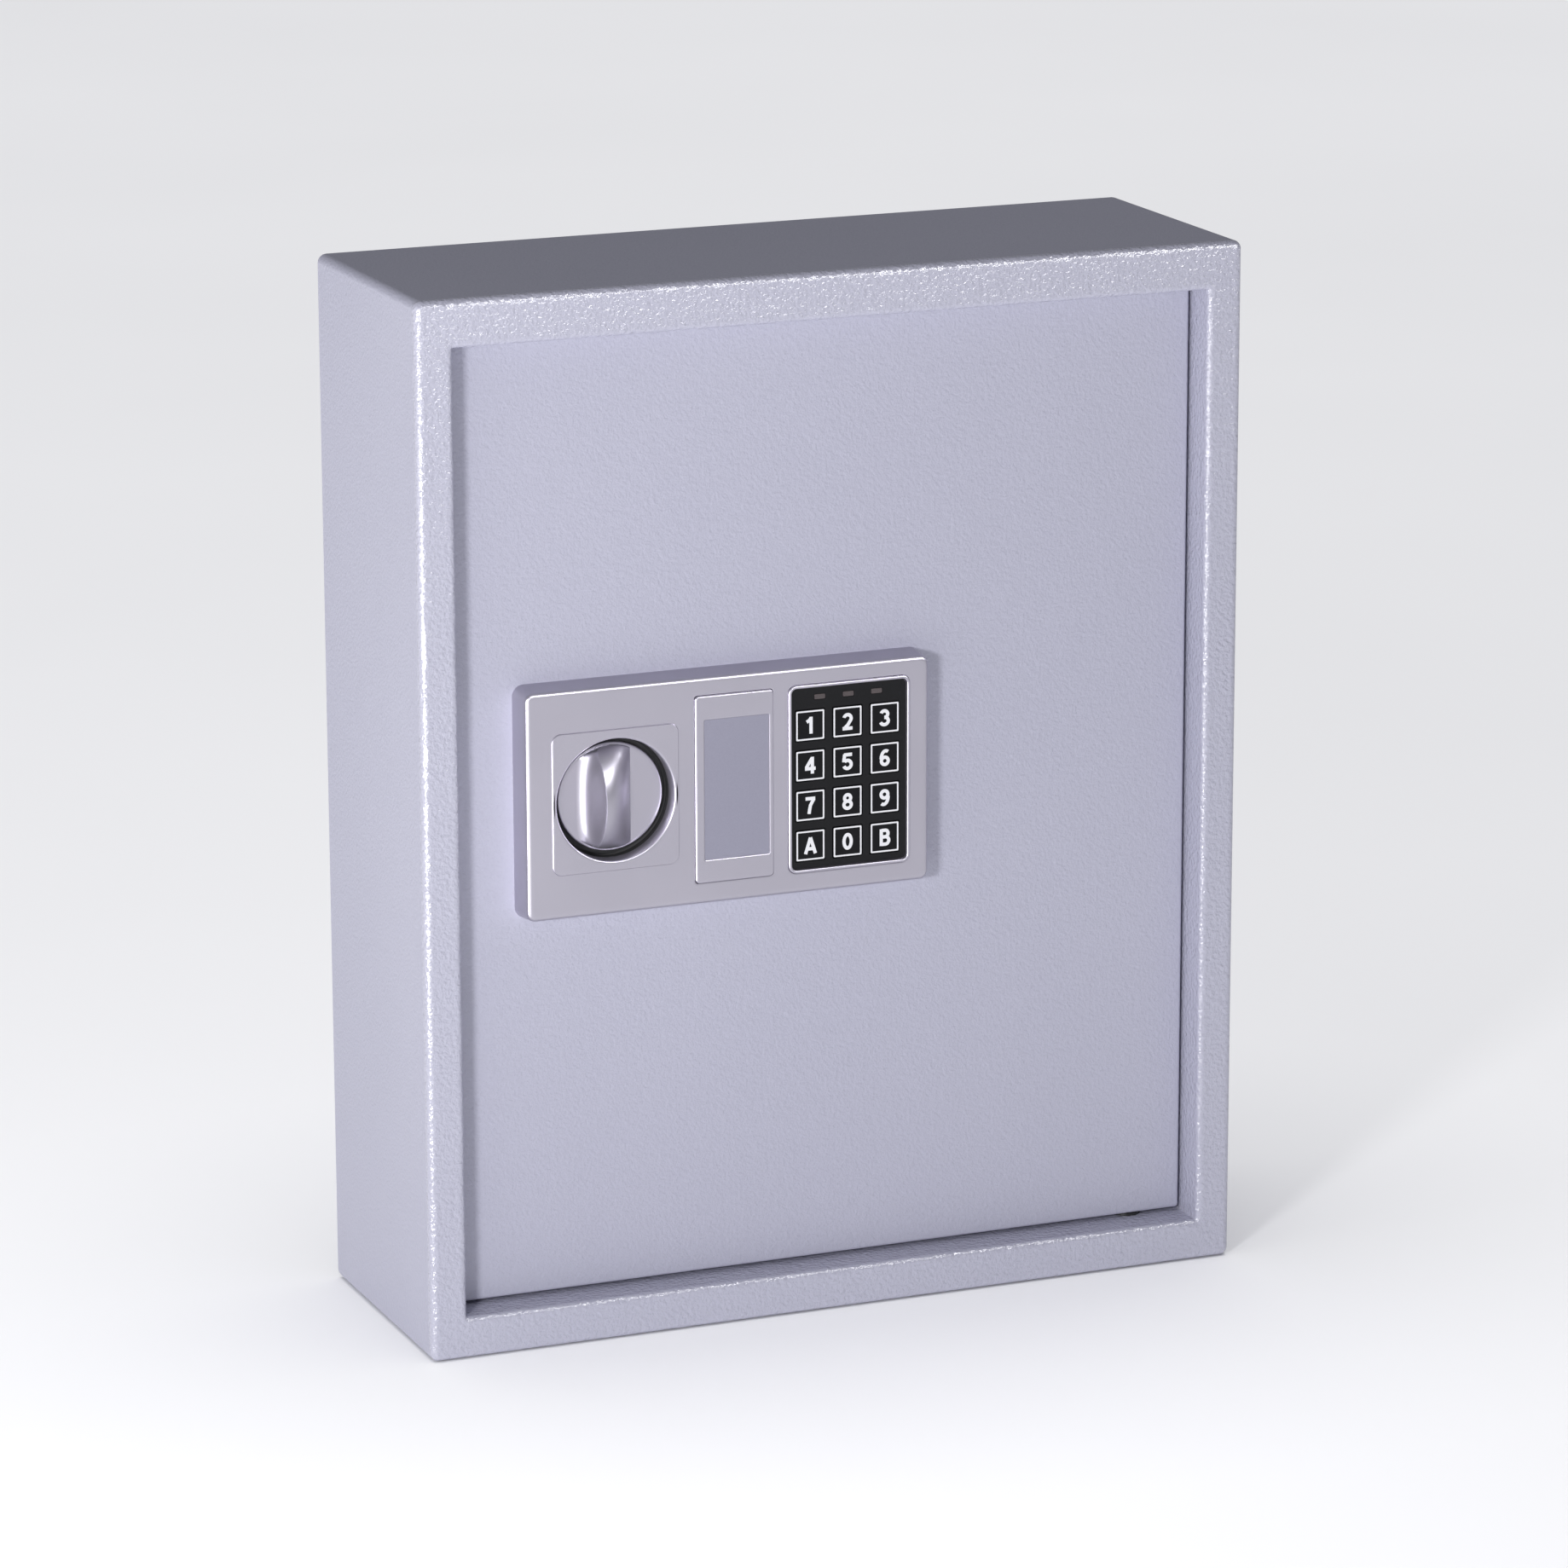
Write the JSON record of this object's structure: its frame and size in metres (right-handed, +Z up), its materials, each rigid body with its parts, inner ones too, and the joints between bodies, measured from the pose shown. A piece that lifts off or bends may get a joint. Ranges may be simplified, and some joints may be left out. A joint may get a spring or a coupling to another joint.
{
  "type": "wall key safe with electronic lock",
  "caption": "Shallow steel wall cabinet with a recessed hinged door, electronic keypad lock panel with turn knob, sliding bolts and inner key hooks.",
  "frame": {"origin": "centre of the cabinet's footprint at its base", "axes": "+Z up, -Y out of the front, +X to the right seen from the front; the door's hinge is on the right"},
  "size_m": [0.3, 0.1051, 0.365],
  "materials": {
    "powder_coat": "fine orange-peel powder coat, light grey with a cool cast",
    "silver_plastic": "satin silver-grey paint on moulded plastic",
    "black_film": "satin black printed film",
    "key_rubber": "matt black caps with white outline and character",
    "lamp_window": "dark tinted window",
    "zinc_steel": "bright zinc plate",
    "bolt_steel": "turned and plated",
    "lock_brass": "turned brass",
    "nylon": "black nylon",
    "circuit_board": "green solder mask",
    "lead_rubber": "black jacket",
    "black_plastic": "fine spark texture",
    "reset_red": "moulded red",
    "cell_wrap": "plain printed wrap"
  },
  "bodies": {
    "cabinet": {"body_wrap": "powder_coat", "left_stile": "powder_coat", "right_stile": "powder_coat", "top_rail": "powder_coat", "bottom_rail": "powder_coat", "back_plate": "powder_coat", "hinge_pin_top": "zinc_steel", "hinge_pin_bottom": "zinc_steel", "hinge_washer": "nylon", "door_stop": "powder_coat", "hook_rail_1": "powder_coat", "hook_rail_2": "powder_coat", "hook_rail_3": "powder_coat", "hook_rail_4": "powder_coat", "hook_rail_5": "powder_coat", "hook_rail_6": "powder_coat"},
    "door": {"door_pan": "powder_coat", "panel_body": "silver_plastic", "keypad_bezel": "silver_plastic", "keypad_film": "black_film", "lamp_red": "lamp_window", "lamp_amber": "lamp_window", "lamp_green": "lamp_window", "keypad_board": "circuit_board", "keypad_lead": "lead_rubber", "override_barrel": "lock_brass", "lock_base": "zinc_steel", "lock_cover": "powder_coat", "solenoid_body": "zinc_steel", "battery_box": "black_plastic", "cell_1": "cell_wrap", "cell_2": "cell_wrap", "cell_3": "cell_wrap", "cell_4": "cell_wrap", "cover_screw_1": "zinc_steel", "cover_screw_2": "zinc_steel", "cover_screw_3": "zinc_steel", "cover_screw_4": "zinc_steel"},
    "knob_body": {"knob": "silver_plastic", "knob_cam": "zinc_steel"},
    "carriage": {"bolt_carriage": "zinc_steel", "bolt_upper": "bolt_steel", "bolt_lower": "bolt_steel"},
    "plunger": {"solenoid_plunger": "zinc_steel"},
    "override_cap": {"override_cover": "silver_plastic"},
    "override_key_plug": {"override_plug": "lock_brass"},
    "battery_lid": {"battery_cover": "black_plastic"},
    "reset": {"reset_button": "reset_red"},
    "key_1_cap": {"key_1": "key_rubber"},
    "key_2_cap": {"key_2": "key_rubber"},
    "key_3_cap": {"key_3": "key_rubber"},
    "key_4_cap": {"key_4": "key_rubber"},
    "key_5_cap": {"key_5": "key_rubber"},
    "key_6_cap": {"key_6": "key_rubber"},
    "key_7_cap": {"key_7": "key_rubber"},
    "key_8_cap": {"key_8": "key_rubber"},
    "key_9_cap": {"key_9": "key_rubber"},
    "key_A_cap": {"key_A": "key_rubber"},
    "key_0_cap": {"key_0": "key_rubber"},
    "key_B_cap": {"key_B": "key_rubber"}
  },
  "joints": [
    {"name": "door_hinge", "type": "hinge", "parent": "cabinet", "child": "door", "pos_m": [0.118, -0.0318, 0.18], "axis": [0, 0, 1], "range_deg": [0, 105]},
    {"name": "knob_turn", "type": "hinge", "parent": "door", "child": "knob_body", "pos_m": [-0.0808, -0.04, 0.1901], "axis": [0, -1, 0], "range_deg": [0, 75]},
    {"name": "bolt_slide", "type": "slide", "parent": "door", "child": "carriage", "axis": [-1, 0, 0], "range_m": [0, 0.0122]},
    {"name": "plunger_slide", "type": "slide", "parent": "door", "child": "plunger", "axis": [0, 0, 1], "range_m": [0, 0.004]},
    {"name": "cover_lift", "type": "slide", "parent": "door", "child": "override_cap", "axis": [0, -1, 0], "range_m": [0, 0.03]},
    {"name": "override_turn", "type": "hinge", "parent": "door", "child": "override_key_plug", "pos_m": [-0.0378, -0.04, 0.1901], "axis": [0, -1, 0], "range_deg": [0, 90]},
    {"name": "battery_cover_slide", "type": "slide", "parent": "door", "child": "battery_lid", "axis": [1, 0, 0], "range_m": [0, 0.025]},
    {"name": "reset_press", "type": "slide", "parent": "door", "child": "reset", "axis": [0, -1, 0], "range_m": [0, 0.0015], "stiffness_N_per_m": 300},
    {"name": "press_key_1", "type": "slide", "parent": "door", "child": "key_1_cap", "axis": [0, 1, 0], "range_m": [0, 0.0004], "stiffness_N_per_m": 400},
    {"name": "press_key_2", "type": "slide", "parent": "door", "child": "key_2_cap", "axis": [0, 1, 0], "range_m": [0, 0.0004], "stiffness_N_per_m": 400},
    {"name": "press_key_3", "type": "slide", "parent": "door", "child": "key_3_cap", "axis": [0, 1, 0], "range_m": [0, 0.0004], "stiffness_N_per_m": 400},
    {"name": "press_key_4", "type": "slide", "parent": "door", "child": "key_4_cap", "axis": [0, 1, 0], "range_m": [0, 0.0004], "stiffness_N_per_m": 400},
    {"name": "press_key_5", "type": "slide", "parent": "door", "child": "key_5_cap", "axis": [0, 1, 0], "range_m": [0, 0.0004], "stiffness_N_per_m": 400},
    {"name": "press_key_6", "type": "slide", "parent": "door", "child": "key_6_cap", "axis": [0, 1, 0], "range_m": [0, 0.0004], "stiffness_N_per_m": 400},
    {"name": "press_key_7", "type": "slide", "parent": "door", "child": "key_7_cap", "axis": [0, 1, 0], "range_m": [0, 0.0004], "stiffness_N_per_m": 400},
    {"name": "press_key_8", "type": "slide", "parent": "door", "child": "key_8_cap", "axis": [0, 1, 0], "range_m": [0, 0.0004], "stiffness_N_per_m": 400},
    {"name": "press_key_9", "type": "slide", "parent": "door", "child": "key_9_cap", "axis": [0, 1, 0], "range_m": [0, 0.0004], "stiffness_N_per_m": 400},
    {"name": "press_key_A", "type": "slide", "parent": "door", "child": "key_A_cap", "axis": [0, 1, 0], "range_m": [0, 0.0004], "stiffness_N_per_m": 400},
    {"name": "press_key_0", "type": "slide", "parent": "door", "child": "key_0_cap", "axis": [0, 1, 0], "range_m": [0, 0.0004], "stiffness_N_per_m": 400},
    {"name": "press_key_B", "type": "slide", "parent": "door", "child": "key_B_cap", "axis": [0, 1, 0], "range_m": [0, 0.0004], "stiffness_N_per_m": 400}
  ],
  "couplings": [
    {"joint": "knob_turn", "follows": "bolt_slide", "rad_per_m": 107.25}
  ]
}
